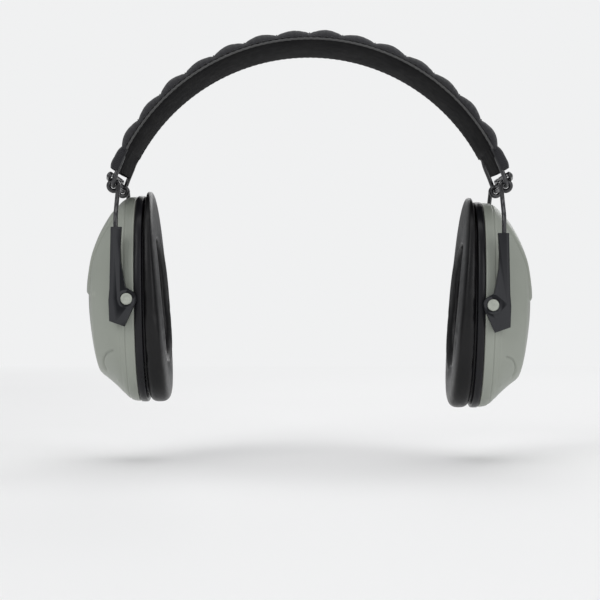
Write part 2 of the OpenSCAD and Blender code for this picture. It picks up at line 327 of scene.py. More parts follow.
def textile_material():
    """A plain weave laid along the cover, in the measures that its own points carry."""
    s = Shader("quilted_textile", Specular_IOR_Level=0.16, Sheen_Weight=0.14, Sheen_Roughness=0.45)
    laid = s.node("ShaderNodeAttribute", attribute_name="laid").outputs["Vector"]
    apart = s.node("ShaderNodeSeparateXYZ")
    s.put(apart.inputs[0], laid)
    thread = 2 * math.pi / WEAVE
    along = s.math("SINE", s.math("MULTIPLY", apart.outputs[0], thread))
    across = s.math("SINE", s.math("MULTIPLY", apart.outputs[1], thread))
    weave = s.math("MULTIPLY", along, across)
    height = s.range(weave, -1, 1, 0, 1)
    fuzz = s.noise(900, 4, 0.7)
    shade = s.ramp(height, [(0.2, (0.014, 0.014, 0.016)), (0.85, (0.036, 0.036, 0.04))])
    colour = s.mix(s.spread(s.noise(120, 3), 0.0, 0.35), shade, (0.03, 0.03, 0.033, 1))
    return s.set(Base_Color=colour, Roughness=s.spread(fuzz, 0.72, 0.9),
                 Normal=s.bump(height, 0.55, 0.22 * MM, s.bump(fuzz, 0.3, 0.2 * MM)))


def thread_material(name, tone):
    """Twisted sewing thread."""
    s = Shader(name, Specular_IOR_Level=0.3, Sheen_Weight=0.2)
    twist = s.noise(2600, 2)
    return s.set(Base_Color=s.ramp(twist, [(0.3, (tone * 0.6,) * 3), (0.7, (tone,) * 3)]),
                 Roughness=s.spread(twist, 0.6, 0.8), Normal=s.bump(twist, 0.5, 0.1 * MM))


# Metres from the frame's origin where the floor begins to fade, and where only the backdrop is left
FLOOR_PLAIN = 0.25
FLOOR_GONE = 1.3


def floor_material():
    """A pale floor that runs out into the tone of the backdrop."""
    s = Shader("pale_floor", Specular_IOR_Level=0.2, Roughness=0.7)
    apart = s.node("ShaderNodeVectorMath", operation="LENGTH")
    s.put(apart.inputs[0], s.where)
    glow = s.node("ShaderNodeEmission")
    glow.inputs["Color"].default_value = BACKDROP
    glow.inputs["Strength"].default_value = BACKDROP_STRENGTH
    joined = s.node("ShaderNodeMixShader")
    s.put(joined.inputs[0], s.range(apart.outputs["Value"], FLOOR_PLAIN, FLOOR_GONE, 0, 1))
    s.put(joined.inputs[1], s.shader.outputs[0])
    s.put(joined.inputs[2], glow.outputs[0])
    s.put(s.tree.nodes["Material Output"].inputs["Surface"], joined.outputs[0])
    return s.set(Base_Color=s.ramp(s.noise(3, 2), [(0.3, (0.88, 0.88, 0.88)), (0.7, (0.9, 0.9, 0.9))]))


SHELL = shell_material()
PIN = pin_material()
ARM = arm_material()
RING = ring_material()
WIRE = wire_material()
STEEL = steel_material()
LEATHERETTE = leatherette_material("leatherette", 0.24, 0.3, 0.4)
PAD_LEATHERETTE = leatherette_material("pad_leatherette", 0.01, 0.5, 0.62)
FOAM = foam_material()
TEXTILE = textile_material()
DARK_THREAD = thread_material("dark_thread", 0.006)
# the welt's paler tone is a painted highlight on the leatherette's folded edge
WELT_PAINTED_HIGHLIGHT = thread_material("welt_painted_highlight", 0.075)
FLOOR = floor_material()

# ---- Making pieces ----


def make_piece(name, points, faces, material, body, slot, nodes=(), laid=None, sharp=None):
    """A piece from points in millimetres, riding on a body and standing for CAD nodes.

    laid gives each point's place along and across the cloth; edges over sharp degrees stay crisp.
    """
    mesh = bpy.data.meshes.new(name)
    mesh.from_pydata([tuple(float(c) * MM for c in p) for p in points], [], faces)
    built = bmesh.new()
    built.from_mesh(mesh)
    bmesh.ops.recalc_face_normals(built, faces=built.faces)
    built.to_mesh(mesh)
    built.free()
    piece = bpy.data.objects.new(name, mesh)
    bpy.context.collection.objects.link(piece)
    mesh.materials.append(material)
    mesh.polygons.foreach_set("use_smooth", [True] * len(mesh.polygons))
    if sharp is not None:
        mesh.set_sharp_from_angle(angle=math.radians(sharp))
    if laid is not None:
        held = mesh.attributes.new("laid", "FLOAT_VECTOR", "POINT")
        held.data.foreach_set("vector", (np.array(laid, float) * MM).ravel())
    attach(piece, body)
    if nodes:
        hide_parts(*nodes)
    return piece


def loft_faces(rows, cols, ring=False, ends=True, loop=False):
    """Quads of a grid of rows; ring closes each row on itself, loop joins the last row to the first.

    A ring that is no loop gets a cap at each end, unless ends says no.
    """
    faces = []
    row_steps = rows if loop else rows - 1
    col_steps = cols if ring else cols - 1
    for i in range(row_steps):
        for j in range(col_steps):
            a, b = i * cols + j, i * cols + (j + 1) % cols
            c, d = ((i + 1) % rows) * cols + (j + 1) % cols, ((i + 1) % rows) * cols + j
            faces.append((a, b, c, d))
    if ends and ring and not loop:
        faces.append(tuple(range(cols))[::-1])
        faces.append(tuple((rows - 1) * cols + j for j in range(cols)))
    return faces


def smooth_curve(keys, steps):
    """Points on a smooth curve through the keys, with so many steps from key to key."""
    keys = np.array(keys, float)
    padded = np.vstack([2 * keys[0] - keys[1], keys, 2 * keys[-1] - keys[-2]])
    out = []
    for i in range(1, len(padded) - 2):
        p0, p1, p2, p3 = padded[i - 1 : i + 3]
        for t in np.linspace(0, 1, steps, endpoint=False):
            out.append(0.5 * (2 * p1 + (p2 - p0) * t + (2 * p0 - 5 * p1 + 4 * p2 - p3) * t ** 2
                              + (3 * p1 - p0 - 3 * p2 + p3) * t ** 3))
    out.append(keys[-1])
    return np.array(out)


def rounded_path(corners, reach):
    """A path through corners, each rounded off from so far before it to as far after it."""
    steps = 6
    longest = 0.45
    corners = [np.array(c, float) for c in corners]
    out = [corners[0]]
    for a, b, c in zip(corners, corners[1:], corners[2:]):
        trim = min(reach, longest * np.linalg.norm(a - b), longest * np.linalg.norm(c - b))
        start = b + (a - b) / np.linalg.norm(a - b) * trim
        end = b + (c - b) / np.linalg.norm(c - b) * trim
        for t in np.linspace(0, 1, steps):
            out.append((1 - t) ** 2 * start + 2 * t * (1 - t) * b + t ** 2 * end)
    out.append(corners[-1])
    return np.array(out)


def tube(path, radius, sides):
    """Points and faces of a closed tube along a path, without twist; radius may be one for each point."""
    path = np.array(path, float)
    radii = np.broadcast_to(radius, len(path))
    tangents = np.gradient(path, axis=0)
    tangents /= np.linalg.norm(tangents, axis=1)[:, None]
    across = (0.3, 0.9, 0.2)
    side = np.cross(tangents[0], across)
    side /= np.linalg.norm(side)
    points = []
    for centre, along, r in zip(path, tangents, radii):
        side = side - along * (side @ along)
        side /= np.linalg.norm(side)
        up = np.cross(along, side)
        for k in range(sides):
            a = 2 * math.pi * k / sides
            points.append(centre + r * (math.cos(a) * side + math.sin(a) * up))
    return points, loft_faces(len(path), sides, ring=True)


def join_parts(parts):
    """Several lots of points and faces as one."""
    points, faces = [], []
    for part_points, part_faces in parts:
        start = len(points)
        points.extend(part_points)
        faces.extend(tuple(start + i for i in face) for face in part_faces)
    return points, faces


def smooth_step(value):
    """0 up to 0, 1 from 1 on, and smooth between."""
    t = np.clip(value, 0, 1)
    return t * t * (3 - 2 * t)


# ---- Headband ----

# The band's arch: its centre, and the radius at which the pad is sewn to the cover
ARCH_Z = -96.5
SEAM_R = 99.9
# Half the band's width, and the angle from the crown at which it ends
BAND_Y = 31.5
PAD_DEG = 62.6
# The steel wire, the arc that it follows, and where it crosses over as the pin of a hinge
WIRE_R = 1.1
WIRE_SIDES = 16
BAND_WIRE_R = 99.9
BAND_WIRE_Y = 28
HINGE_X = JOINTS["left_fold"]["pos_m"][0] / MM
HINGE_Z = JOINTS["left_fold"]["pos_m"][2] / MM
HINGE_DEG = math.degrees(math.asin(HINGE_X / BAND_WIRE_R))
# The quilted cover's pockets, their height, and the height and pinch of the valleys between them
POCKETS = 14
CREST = 2.0
VALLEY = 4.3
PINCH = 0.5
# The cover's tab at each end
TAB_DEG = 68.6
TAB_FRONT = 30.4
TAB_REAR = {"right": 30.4, "left": 18.0}


def on_arch(degrees, radius, y):
    """A point at so many degrees from the crown, towards the left."""
    a = math.radians(degrees)
    return (radius * math.sin(a), y, ARCH_Z + radius * math.cos(a))


def arch_length(degrees):
    """How far along the seam an angle lies from the crown."""
    return math.radians(degrees) * SEAM_R


def end_share(degrees, reach, length):
    """1 along the band, falling to 0 in a round end of a given length at reach."""
    left = np.clip((reach - abs(degrees)) / length, 0, 1)
    return math.sqrt(1 - (1 - left) ** 2)


def make_pad():
    """The leatherette pad: thickest in the middle, thin at its sewn edges, with a rounded end."""
    thick, rolled, slack, crown = 2.6, 0.35, 0.12, 0.5
    round_end = 2.6
    half = BAND_Y + 0.25
    angles = np.linspace(-PAD_DEG, PAD_DEG, 261)
    across = np.linspace(-1, 1, 45)
    points = []
    for degrees in angles:
        full = end_share(degrees, PAD_DEG, round_end)
        for v in across:
            sag = thick * (1 - abs(v) ** 2.2) + rolled * (1 - abs(v) ** 16)
            ripple = slack * math.sin(degrees * 0.35 + 3 * v) * (1 - v * v)
            points.append(on_arch(degrees, SEAM_R - (sag + ripple) * full, v * half))
        for v in across[::-1]:
            points.append(on_arch(degrees, SEAM_R + crown * (1 - v * v), v * half))
    pad = make_piece("head_pad", points, loft_faces(len(angles), 2 * len(across), ring=True), PAD_LEATHERETTE,
                     "headband", "leatherette", ("band_pad", "pad_foam"), sharp=50)


def quilt_height(degrees, v, fatness):
    """Height of the quilted cover over the seam: pockets with stitched valleys between them.

    v runs from -1 at the front edge to 1 at the rear one, and fatness is a number for each pocket.
    """
    place = (degrees + PAD_DEG) / (2 * PAD_DEG) * POCKETS
    number = int(np.clip(math.floor(place), 0, POCKETS - 1))
    share = place - number
    pocket = math.sin(math.pi * share) ** 1.5
    pinch = PINCH * math.exp(-(min(share, 1 - share) / 0.07) ** 2)
    edge = (1 - abs(v) ** 7) ** 0.5
    crest = CREST * fatness[number]
    return edge * (VALLEY - pinch + crest * pocket * (0.75 + 0.25 * (1 - v * v)))


def make_cover():
    """The quilted textile cover. It gives back its pockets' fatness, which the stitches follow."""
    end_height = 0.72
    round_end = 3
    gather = 0.16
    half = BAND_Y - 0.1
    under = SEAM_R - 0.15
    fatness = [rng.uniform(0.7, 1.2) for _ in range(POCKETS)]
    lean = [rng.uniform(-0.6, 0.6) for _ in range(POCKETS)]
    angles = np.linspace(-PAD_DEG, PAD_DEG, 421)
    across = np.sin(np.linspace(-math.pi / 2, math.pi / 2, 61))
    points, laid = [], []
    for degrees in angles:
        number = int(np.clip((degrees + PAD_DEG) / (2 * PAD_DEG) * POCKETS, 0, POCKETS - 1))
        full = end_height + (1 - end_height) * end_share(degrees, PAD_DEG, round_end)
        travelled = 0
        for k, v in enumerate(across):
            slanted = degrees + lean[number] * (v * v - 0.5) * 0.5
            high = quilt_height(slanted, v, fatness) * full
            pucker = gather * math.sin(degrees * 3.7 + 2 * v) * math.exp(-((1 - abs(v)) / 0.16) ** 2)
            points.append(on_arch(degrees, SEAM_R + high + pucker, v * half))
            if k:
                travelled += math.dist(points[-1], points[-2])
            laid.append((arch_length(degrees), travelled, 0))
        for v in across[::6][::-1]:
            points.append(on_arch(degrees, under, v * half))
            laid.append((arch_length(degrees), v * BAND_Y, 0))
    cols = len(across) + len(across[::6])
    cover = make_piece("quilted_cover", points, loft_faces(len(angles), cols, ring=True), TEXTILE,
                       "headband", "textile", ("band_cover", "quilt_wadding"), laid=laid, sharp=60)
    return fatness


def make_tab(side):
    """The end of the cover: a flat sleeve that holds the side wires above a hinge."""
    tucked = 0.9
    wall = 0.7
    inside, outside = 98.3, 103.2
    lined = 99.3
    sides = 56
    front_y, rear_y = TAB_FRONT, TAB_REAR[side]
    angles = np.linspace(PAD_DEG - tucked, TAB_DEG, 15)
    rings, laid = [], []
    for layer, shrink in ((angles, 0.0), (angles[::-1], wall)):
        for degrees in layer:
            go = (degrees - angles[0]) / (angles[-1] - angles[0])
            swell = 0.45 * math.sin(go * math.pi) + 0.2 * math.sin(go * 9)
            low = inside + shrink - 0.2 * swell
            high = outside + 1.5 * math.sin(go * 2.4) - shrink + swell
            for k in range(sides):
                a = 2 * math.pi * k / sides
                c, s = math.cos(a), math.sin(a)
                wide = (front_y + rear_y) / 2 - shrink
                y = (rear_y - front_y) / 2 + wide * math.copysign(abs(c) ** 0.45, c)
                r = (low + high) / 2 + (high - low) / 2 * math.copysign(abs(s) ** 0.65, s)
                r += 0.18 * math.sin(y * 0.9 + 4 * go) * s
                rings.append(on_arch(SIGN[side] * degrees, r, y))
                laid.append((arch_length(degrees), y, 0))
    rows = 2 * len(angles)
    tab = make_piece(f"{side}_cover_tab", rings, loft_faces(rows, sides, ring=True, loop=True), TEXTILE,
                     "headband", "textile", laid=laid, sharp=60)
    tab.data.materials.append(PAD_LEATHERETTE)
    for face in tab.data.polygons:
        middle = face.center / MM
        if math.hypot(middle.x, middle.z - ARCH_Z) < lined:
            face.material_index = 1


def stitch(a, b, out):
    """One stitch: a short thread that dips into the cloth at both ends."""
    radius = 0.28
    stand, dip = 0.34, 0.12
    a, b, out = (np.array(p, float) for p in (a, b, out))
    steps = np.linspace(0, 1, 7)
    path = [a + (b - a) * t + out * (stand * math.sin(math.pi * t) - dip) for t in steps]
    return tube(path, [radius * (0.55 + 0.45 * math.sin(math.pi * t)) for t in steps], sides=6)


def make_stitches(fatness):
    """A row of stitches along each edge of the cover and one down each valley."""
    parts = []
    # along the edges, in degrees, a little in from them
    pitch, share, first, v = 1.72, 0.62, 1.2, 0.988
    count = int(2 * (PAD_DEG - 1) / pitch)
    for way in (-1, 1):
        for i in range(count):
            start = -PAD_DEG + first + i * pitch
            place = []
            for degrees in (start, start + share * pitch):
                high = quilt_height(degrees, v, fatness)
                place.append(on_arch(degrees, SEAM_R + 0.55 * high + 0.1, way * (v * BAND_Y + 0.25)))
            mid = math.radians(start)
            parts.append(stitch(*place, (0.5 * math.sin(mid), way * 0.87, 0.5 * math.cos(mid))))
    # down the valleys, in millimetres
    pitch, length, reach = 3.1, 2, 28
    for channel in range(1, POCKETS):
        degrees = -PAD_DEG + 2 * PAD_DEG * channel / POCKETS
        out = on_arch(degrees, 1, 0)
        out = (out[0], 0, out[2] - ARCH_Z)
        for y in np.arange(-reach, reach - 1, pitch):
            place = []
            for step in (y, y + length):
                high = quilt_height(degrees, step / BAND_Y, fatness)
                place.append(on_arch(degrees, SEAM_R + high + 0.05, step))
            parts.append(stitch(*place, out))
    make_piece("cover_stitches", *join_parts(parts), DARK_THREAD, "headband", "textile")


def make_seam():
    """The folded edge of the leatherette along each side of the band, coloured paler than the leatherette as
    a painted highlight.
    """
    radius = 0.5
    reach = PAD_DEG - 0.4
    wave = 0.08
    parts = []
    for way in (-1, 1):
        angles = np.linspace(-reach, reach, 240)
        path = [on_arch(d, SEAM_R - 0.15 + wave * math.sin(d * 3.6), way * (BAND_Y + 0.4)) for d in angles]
        parts.append(tube(path, radius, sides=8))
    make_piece("seam_welt", *join_parts(parts), WELT_PAINTED_HIGHLIGHT, "headband", "leatherette")


def hidden_radius(degrees):
    """Radius of the side wires: high in the padding, and at the hinge's radius near the ends."""
    lift, begins, fades = 1.6, 66, 6
    return BAND_WIRE_R + lift * float(smooth_step((begins - abs(degrees)) / fades))


def make_band_wire():
    """The closed loop of wire: a side wire at the front and the rear, a cross wire at each hinge, and
    the crimp that joins its ends."""
    bend = 4
    straight = BAND_WIRE_Y - bend
    corner = math.degrees(bend / BAND_WIRE_R)
    reach = HINGE_DEG - corner
    path = []
    for way in (-1, 1):
        angles = np.linspace(-reach, reach, 120) * -way
        path += [on_arch(d, hidden_radius(d), way * BAND_WIRE_Y) for d in angles]
        end = angles[-1] / abs(angles[-1])
        for t in np.linspace(0, math.pi / 2, 8)[1:]:
            degrees = end * (reach + corner * math.sin(t))
            path.append(on_arch(degrees, BAND_WIRE_R, way * (straight + bend * math.cos(t))))
        for y in np.linspace(straight - 0.5, 0.5 - straight, 14):
            path.append(on_arch(end * HINGE_DEG, BAND_WIRE_R, way * y))
        for t in np.linspace(math.pi / 2, 0, 8)[:-1]:
            degrees = end * (reach + corner * math.sin(t))
            path.append(on_arch(degrees, BAND_WIRE_R, -way * (straight + bend * math.cos(t))))
    points, _ = tube(path, WIRE_R, sides=WIRE_SIDES)
    faces = loft_faces(len(path), WIRE_SIDES, ring=True, loop=True)
    make_piece("band_wire", points, faces, WIRE, "headband", "wire", ("band_frame",))
    crimp_r, dent, crimp_reach, count = 1.45, 0.2, 4.5, 25
    crimp = [on_arch(d, hidden_radius(d), BAND_WIRE_Y) for d in np.linspace(-crimp_reach, crimp_reach, count)]
    radii = [crimp_r - dent * (abs((i % 8) - 4) < 1.5) for i in range(count)]
    make_piece("wire_crimp", *tube(crimp, radii, sides=WIRE_SIDES), STEEL, "headband", "sleeve",
               ("frame_sleeve",))


# ---- Yokes ----

# The straight part of a leg, and its foot below the cup's pivot
LEG_X = 92.9
LEG_Y = 38.1
LEG_TOP = -82.5
FOOT_DROP = 4
# The eye round the cross wire, and how far it winds to the side in its one and a quarter turns
EYE_R = 2.4
EYE_Y = 22.3
EYE_PITCH = 2.7
# The bridge above the hinge
BRIDGE_X = HINGE_X + 0.95
BRIDGE_Z = HINGE_Z + 5.5


def pivot_of(side):
    """The cup's pivot as distances outward and up."""
    x, _, z = JOINTS[f"{side}_tilt"]["pos_m"]
    return abs(x) / MM, z / MM


def half_yoke(way, low):
    """From the foot of a leg to the middle of the bridge, on the left side."""
    turn = []
    start, end = math.radians(188), math.radians(-262)
    for t in np.linspace(0, 1, 46):
        a = start + (end - start) * t
        y = EYE_Y + EYE_PITCH / 2 - EYE_PITCH * t
        turn.append((HINGE_X + EYE_R * math.cos(a), way * y, HINGE_Z + EYE_R * math.sin(a)))
    leg = rounded_path([(LEG_X, way * LEG_Y, low), (LEG_X, way * LEG_Y, LEG_TOP), turn[0]], 3.0)
    riser = rounded_path([
        turn[-1],
        (HINGE_X + 2.4, way * 22.6, HINGE_Z + 3.3),
        (HINGE_X + 1.5, way * 29.6, HINGE_Z + 4.6),
        (BRIDGE_X, way * 28.4, BRIDGE_Z),
        (BRIDGE_X, 0, BRIDGE_Z),
    ], 1.6)
    return list(leg[:-1]) + turn + list(riser[1:])


def make_yoke(side):
    """One bent wire from foot to foot over the hinge, with a swaged collar on each foot."""
    nearest = 0.12
    collar_r, collar_end, collar_heights = 1.45, 1.25, (0, 0.5, 2.5, 3)
    _, pivot_z = pivot_of(side)
    low = pivot_z - FOOT_DROP
    near = half_yoke(-1, low)
    far = half_yoke(1, low)
    path = near + far[::-1][1:]
    even = [path[0]]
    for point in path[1:]:
        if math.dist(point, even[-1]) > nearest:
            even.append(point)
    path = np.array(even)
    path[:, 0] *= SIGN[side]
    parts = [tube(path, WIRE_R, sides=WIRE_SIDES)]
    for way in (-1, 1):
        collar = [(SIGN[side] * LEG_X, way * LEG_Y, low + h) for h in collar_heights]
        parts.append(tube(collar, [collar_end, collar_r, collar_r, collar_end], sides=WIRE_SIDES))
    make_piece(f"{side}_yoke", *join_parts(parts), WIRE, f"{side}_yoke", "wire", (f"{side}_yoke_wire",))


# ---- Arms and pins ----

# Outward and up from the pivot: the top, the outer edge, the foot, the boss and the curved inner edge
ARM_OUTLINE = [(2.5, 34.4), (7.6, 34.4), (8.2, 5), (8.7, -0.5), (8.3, -10.6), (1.1, -13.2), (-3.8, -2.4),
               (-4.4, 0.6), (-2.2, 3.9), (0.6, 5.6), (1.7, 10.8), (2.9, 18), (3.1, 24.6), (2.7, 32.7)]
# The arm's inner face from the middle plane, its thickness, and its leg's bore outward of the pivot
ARM_IN = 35.4
ARM_T = 5.4
BORE_OUT = 5.4
# Radius, bottom and top of each step of that bore: wide below for the collar on the leg's foot
BORE_STEPS = ((1.55, -7.2, 21.2), (1.3, 20.5, 36))
# The round boss, the recess in it for the pin's head, and the pin's bore
BOSS_R = 4.5
BOSS_PROUD = 0.1
RECESS_R = 2.98
RECESS_DEEP = 1.2
PIVOT_R = 2.05
# How far a cutting tool reaches past what it cuts
PAST = 2


def add_prism(bm, outline, near, far):
    """A solid between two depths, from an outline in outward and up."""
    faces = []
    rings = [[bm.verts.new((x, d, z)) for x, z in outline] for d in (near, far)]
    count = len(outline)
    for i in range(count):
        j = (i + 1) % count
        faces.append(bm.faces.new((rings[0][i], rings[0][j], rings[1][j], rings[1][i])))
    faces.append(bm.faces.new(rings[0][::-1]))
    faces.append(bm.faces.new(rings[1]))
    bmesh.ops.recalc_face_normals(bm, faces=faces)


def solid_object(name, build):
    """An object from a function that builds its solid in a bmesh."""
    bm = bmesh.new()
    build(bm)
    mesh = bpy.data.meshes.new(name)
    bm.to_mesh(mesh)
    bm.free()
    made = bpy.data.objects.new(name, mesh)
    bpy.context.collection.objects.link(made)
    return made


def disc(radius, count):
    """A round outline of so many corners."""
    turns = [2 * math.pi * k / count for k in range(count)]
    return [(radius * math.cos(a), radius * math.sin(a)) for a in turns]


def apply_modifiers(piece):
    """Leaves the mesh as its modifiers shape it."""
    graph = bpy.context.evaluated_depsgraph_get()
    graph.update()
    shaped = bpy.data.meshes.new_from_object(piece.evaluated_get(graph))
    piece.modifiers.clear()
    piece.data = shaped


def cut(piece, tool, how="DIFFERENCE"):
    """Takes a tool's solid from the piece, or joins it on with UNION, and removes the tool."""
    modifier = piece.modifiers.new("cut", "BOOLEAN")
    modifier.operation = how
    modifier.solver = "EXACT"
    modifier.object = tool
    apply_modifiers(piece)
    bpy.data.objects.remove(tool)


def wedge(bm, corners, depth):
    """A slab above a slanted face, given by its corners as outward, depth and up."""
    base = [bm.verts.new(c) for c in corners]
    top = [bm.verts.new((c[0], c[1] - depth, c[2])) for c in corners]
    faces = [bm.faces.new(base), bm.faces.new(top[::-1])]
    for i in range(len(corners)):
        j = (i + 1) % len(corners)
        faces.append(bm.faces.new((base[j], base[i], top[i], top[j])))
    bmesh.ops.recalc_face_normals(bm, faces=faces)


def arm_mesh():
    """A front arm of the left side, with its pivot at the origin and its face at depth -ARM_T."""
    face = -ARM_T
    piece = solid_object("arm_blank", lambda bm: add_prism(bm, ARM_OUTLINE, 0, face))
    outer_edge = [(6.2, face, 40), (10.2, face + 3.2, 40), (11.2, face + 3.2, -16), (7.0, face, -16)]
    below_boss = [(-9, face, -1.8), (12, face, 1.2), (12, face + 1.4, -16), (-9, face + 3.6, -16)]
    for corners in (outer_edge, below_boss):
        cut(piece, solid_object("facet", lambda bm: wedge(bm, corners, 6)))
    boss, recess, bore = disc(BOSS_R, 48), disc(RECESS_R, 48), disc(PIVOT_R, 32)
    cut(piece, solid_object("boss", lambda bm: add_prism(bm, boss, -0.6, face - BOSS_PROUD)), "UNION")
    cut(piece, solid_object("recess", lambda bm: add_prism(bm, recess, face + RECESS_DEEP, face - PAST)))
    cut(piece, solid_object("bore", lambda bm: add_prism(bm, bore, 1, face - PAST)))
    for radius, low, high in BORE_STEPS:
        middle = Matrix.Translation((BORE_OUT, -ARM_T / 2, (low + high) / 2))
        cut(piece, solid_object("leg_bore", lambda bm: bmesh.ops.create_cone(
            bm, cap_ends=True, segments=24, radius1=radius, radius2=radius, depth=high - low, matrix=middle)))
    bevel = piece.modifiers.new("bevel", "BEVEL")
    bevel.width = 0.35
    bevel.segments = 2
    bevel.limit_method = "ANGLE"
    bevel.angle_limit = math.radians(24)
    apply_modifiers(piece)
    points = [tuple(v.co) for v in piece.data.vertices]
    faces = [tuple(p.vertices) for p in piece.data.polygons]
    bpy.data.objects.remove(piece)
    return points, faces


def lathe(profile):
    """Points and faces of a turned piece about the depth axis, from (radius, depth) pairs."""
    sides = 48
    points = []
    for radius, depth in profile:
        for k in range(sides):
            a = 2 * math.pi * k / sides
            points.append((radius * math.cos(a), depth, radius * math.sin(a)))
    return points, loft_faces(len(profile), sides, ring=True)


# Radius and depth along the pivot pin: its stem, the rim of its head, and the sunk face with a pip
PIN_PROFILE = [(1.6, -31.0), (2.0, -31.5), (2.0, -39.6),
               (2.7, -39.6), (2.85, -39.8), (2.85, -40.55), (2.72, -40.85), (2.4, -41.02),
               (1.75, -41.0), (1.6, -40.93), (0.55, -40.93), (0.45, -41.0), (0.1, -41.0)]


def make_arms(points, faces):
    """The front and rear arm of each side, from one shape, and the pins through them."""
    pin_points, pin_faces = lathe(PIN_PROFILE)
    for side in ("right", "left"):
        pivot_x, pivot_z = pivot_of(side)
        for which, way in (("front", 1), ("rear", -1)):
            placed = [(SIGN[side] * (pivot_x + x), way * (y - ARM_IN), pivot_z + z) for x, y, z in points]
            make_piece(f"{side}_{which}_slide_arm", placed, faces, ARM, f"{side}_arms", "arm",
                       (f"{side}_{which}_arm",), sharp=32)
            pinned = [(SIGN[side] * (pivot_x + x), way * y, pivot_z + z) for x, y, z in pin_points]
            make_piece(f"{side}_{which}_button", pinned, pin_faces, PIN, f"{side}_cup", "pin",
                       (f"{side}_{which}_pivot_pin",), sharp=40)


# ---- Cups ----

# A cup is shaped in rim coordinates: outward from the shell's rim, front to back, and up from the pivot.
# Half its width and height, and the power of its oval outline
HALF_W = 34.8
HALF_H = 50.9
POWER = 2.3
# The pivot lies this far outward of the rim, and the cup leans by this angle at rest
PIVOT_OUT = 3.0
TILT = math.radians(1)
RING_T = 4.0
SHELL_TURNS = 360
SHELL_WALL = 2.0

# Keys from rim to pole: share of the radius, and depth
TOP_KEYS = [(1.0, 0.5), (0.998, 2.6), (0.988, 5.0), (0.938, 8.6), (0.845, 11.9), (0.735, 15.5),
            (0.625, 18.4), (0.48, 21.1), (0.322, 23.4), (0.17, 25.0), (0.0, 25.5)]
SIDE_KEYS = [(1.0, 0.5), (0.998, 2.6), (0.99, 5.0), (0.958, 8.8), (0.9, 12.8), (0.82, 16.6),
             (0.725, 19.8), (0.64, 21.9), (0.44, 23.5), (0.22, 24.9), (0.0, 25.5)]
BOTTOM_KEYS = [(1.0, 0.5), (0.996, 2.6), (0.978, 4.9), (0.925, 7.9), (0.85, 11.6), (0.775, 15.9),
               (0.728, 18.9), (0.675, 20.5), (0.5, 22.6), (0.24, 24.5), (0.0, 25.5)]


def oval(turn, across, up):
    """A point of an oval outline of given half width and half height."""
    c, s = math.cos(turn), math.sin(turn)
    return (across * math.copysign(abs(c) ** (2 / POWER), c), up * math.copysign(abs(s) ** (2 / POWER), s))


def on_cup(side, points):
    """From rim coordinates (outward, front to back, up) to the frame."""
    pivot_x, pivot_z = pivot_of(side)
    p = np.array(points, float)
    x, z = p[:, 0] - PIVOT_OUT, p[:, 2]
    out = np.empty_like(p)
    out[:, 0] = SIGN[side] * (pivot_x + x * math.cos(TILT) + z * math.sin(TILT))
    out[:, 1] = p[:, 1]
    out[:, 2] = pivot_z - x * math.sin(TILT) + z * math.cos(TILT)
    return out


def ridge(distance, width):
    """1 on a line, falling away on both sides of it."""
    return np.exp(-(distance / width) ** 2)


def shell_detail(p):
    """How far each point of the shell stands out from the plain dome, in millimetres."""
    groove_u, line_u = 4.9, 7.6
    panel_y, panel_rise = 17.5, 0.95
    arc_u, arc_z, arc_r = 10.4, -31.2, 6.4
    dot_u, dot_z = 9.8, -39.7
    u, y, z = p[..., 0], p[..., 1], p[..., 2]
    # a groove round the rim, and a fainter line beyond it that fades out upward
    out = -0.3 * ridge(u - groove_u, 0.32)
    out -= 0.12 * ridge(u - line_u, 0.3) * smooth_step((10 - z) / 20)
    # a raised upper panel, above a crease that drops towards the front and the rear
    below = 25.6 - u
    crease = 4.0 - 0.55 * below - 0.045 * below ** 2
    away = smooth_step((u - 9.5) / 3)
    above = smooth_step((z - crease) / 0.7 + 0.5) * away
    out += panel_rise * above
    # the panel's front and rear edges, with lower flanks beside them
    out -= panel_rise * smooth_step((np.abs(y) - panel_y) / 1.3 + 0.5) * above
    # a curved groove, low on the front and the rear
    across, high = u - arc_u, z - arc_z
    reach = np.sqrt(across ** 2 + high ** 2)
    turn = np.degrees(np.arctan2(high, across))
    arc = smooth_step((turn + 48) / 20) * smooth_step((92 - turn) / 14)
    out -= 0.62 * ridge(reach - arc_r, 0.55) * arc
    # a small raised dot under it
    dot = np.sqrt((u - dot_u) ** 2 + (z - dot_z) ** 2)
    out += 0.3 * ridge(dot, 0.7)
    return out


def shell_points():
    """The plain dome, in rows from rim to pole: its profile turns from top to side to bottom."""
    steps = 12
    curves = [smooth_curve(keys, steps) for keys in (TOP_KEYS, SIDE_KEYS, BOTTOM_KEYS)]
    grid = np.zeros((len(curves[0]), SHELL_TURNS, 3))
    for j in range(SHELL_TURNS):
        t = 2 * math.pi * j / SHELL_TURNS
        s = math.sin(t)
        weights = (max(s, 0) ** 2, math.cos(t) ** 2, max(-s, 0) ** 2)
        blend = sum(w * c for w, c in zip(weights, curves))
        y, z = oval(t, HALF_W, HALF_H)
        grid[:, j, 0] = blend[:, 1]
        grid[:, j, 1] = y * blend[:, 0]
        grid[:, j, 2] = z * blend[:, 0]
    return grid


def grid_normals(grid):
    """Which way the dome faces at each of its points, outward."""
    along = np.gradient(grid, axis=0)
    around = (np.roll(grid, -1, axis=1) - np.roll(grid, 1, axis=1)) / 2
    normal = np.cross(around, along)
    size = np.linalg.norm(normal, axis=2, keepdims=True)
    normal /= np.maximum(size, 1e-9)
    return -normal if normal[len(grid) // 2, 0, 1] < 0 else normal


